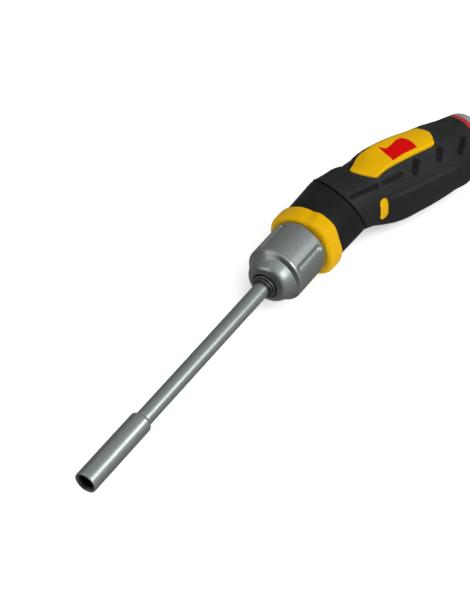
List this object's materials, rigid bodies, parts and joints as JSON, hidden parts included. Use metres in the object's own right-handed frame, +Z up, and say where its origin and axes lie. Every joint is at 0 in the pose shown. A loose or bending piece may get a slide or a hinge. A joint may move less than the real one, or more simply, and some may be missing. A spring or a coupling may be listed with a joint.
{
  "type": "ratcheting screwdriver",
  "caption": "Reversing ratchet screwdriver with a quarter-inch hexagon bit socket, whose head swivels on a slanted seam against a rubber grip with a thumb lock.",
  "frame": {"origin": "middle of the bit socket's mouth", "axes": "+X along the shaft, out of the socket; +Z up from the bench, square to the bend between head and handle; the handle runs back towards -X and +Y"},
  "size_m": [0.2953, 0.0615, 0.043],
  "materials": {
    "black_plastic": "fine-grained black moulding",
    "black_rubber": "soft black overmould",
    "yellow_plastic": "satin yellow moulding",
    "red_plastic": "satin red moulding",
    "grey_cap": "light grey end cap",
    "nose_steel": "turned, satin plated steel",
    "shaft_steel": "satin plated steel",
    "dark_steel": "oiled dark steel",
    "mechanism_steel": "hardened steel",
    "spring_steel": "drawn spring wire",
    "bronze": "plain bronze washer",
    "magnet": "plated magnet"
  },
  "bodies": {
    "handle": {"core_left": "yellow_plastic", "core_right": "yellow_plastic", "core_screws": "mechanism_steel", "rubber_grip": "black_rubber", "end_band": "red_plastic", "end_cap": "grey_cap", "swivel_bolt": "mechanism_steel", "swivel_washer": "bronze", "swivel_nut": "mechanism_steel", "button_pin": "mechanism_steel", "button_spring": "spring_steel", "plunger_spring": "spring_steel"},
    "head": {"swivel_collar": "black_plastic", "index_disc": "mechanism_steel", "pawl_carrier": "mechanism_steel", "carrier_screws": "mechanism_steel", "pawl_pins": "mechanism_steel", "ratchet_nose": "nose_steel", "nose_bushing": "dark_steel", "detent_ball": "mechanism_steel", "detent_spring": "spring_steel"},
    "spindle": {"drive_shaft": "shaft_steel", "bit_socket": "shaft_steel", "bit_magnet": "magnet", "ratchet_gear": "mechanism_steel", "gear_pin": "mechanism_steel", "thrust_washer": "bronze", "front_clip": "dark_steel", "rear_clip": "dark_steel"},
    "selector": {"selector_ring": "yellow_plastic"},
    "upper_pawl": {"upper_pawl": "mechanism_steel"},
    "lower_pawl": {"lower_pawl": "mechanism_steel"},
    "button": {"lock_button": "yellow_plastic"},
    "plunger": {"lock_plunger": "mechanism_steel"}
  },
  "joints": [
    {"name": "head_swivel", "type": "hinge", "parent": "handle", "child": "head", "pos_m": [-0.2065, 0, 0], "axis": [0.9063, -0.1485, -0.3957], "range_deg": [-135, 45]},
    {"name": "shaft_spin", "type": "hinge", "parent": "head", "child": "spindle", "pos_m": [-0.2065, 0, 0], "axis": [1, 0, 0], "continuous": true},
    {"name": "selector_turn", "type": "hinge", "parent": "head", "child": "selector", "pos_m": [-0.2065, 0, 0], "axis": [1, 0, 0], "range_deg": [-18, 18]},
    {"name": "upper_pawl_rock", "type": "hinge", "parent": "head", "child": "upper_pawl", "pos_m": [-0.1605, 0.00359, 0.00955], "axis": [1, 0, 0], "range_deg": [-5.4, 5.4]},
    {"name": "lower_pawl_rock", "type": "hinge", "parent": "head", "child": "lower_pawl", "pos_m": [-0.1605, -0.00359, -0.00955], "axis": [1, 0, 0], "range_deg": [-5.4, 5.4]},
    {"name": "button_press", "type": "hinge", "parent": "handle", "child": "button", "pos_m": [-0.25414, 0.0152, 0.00897], "axis": [0.3179, 0.944, 0.0885], "range_deg": [0, 3], "stiffness_Nm_per_rad": 2, "springref_deg": -4.58, "deforming": ["button_spring"]},
    {"name": "plunger_slide", "type": "slide", "parent": "handle", "child": "plunger", "axis": [-0.9063, 0.1485, 0.3957], "range_m": [0, 0.0026], "deforming": ["plunger_spring"]}
  ],
  "couplings": [
    {"joint": "upper_pawl_rock", "follows": "selector_turn", "ratio": 0.3},
    {"joint": "lower_pawl_rock", "follows": "selector_turn", "ratio": 0.3},
    {"joint": "plunger_slide", "follows": "button_press", "m_per_rad": 0.04966}
  ]
}
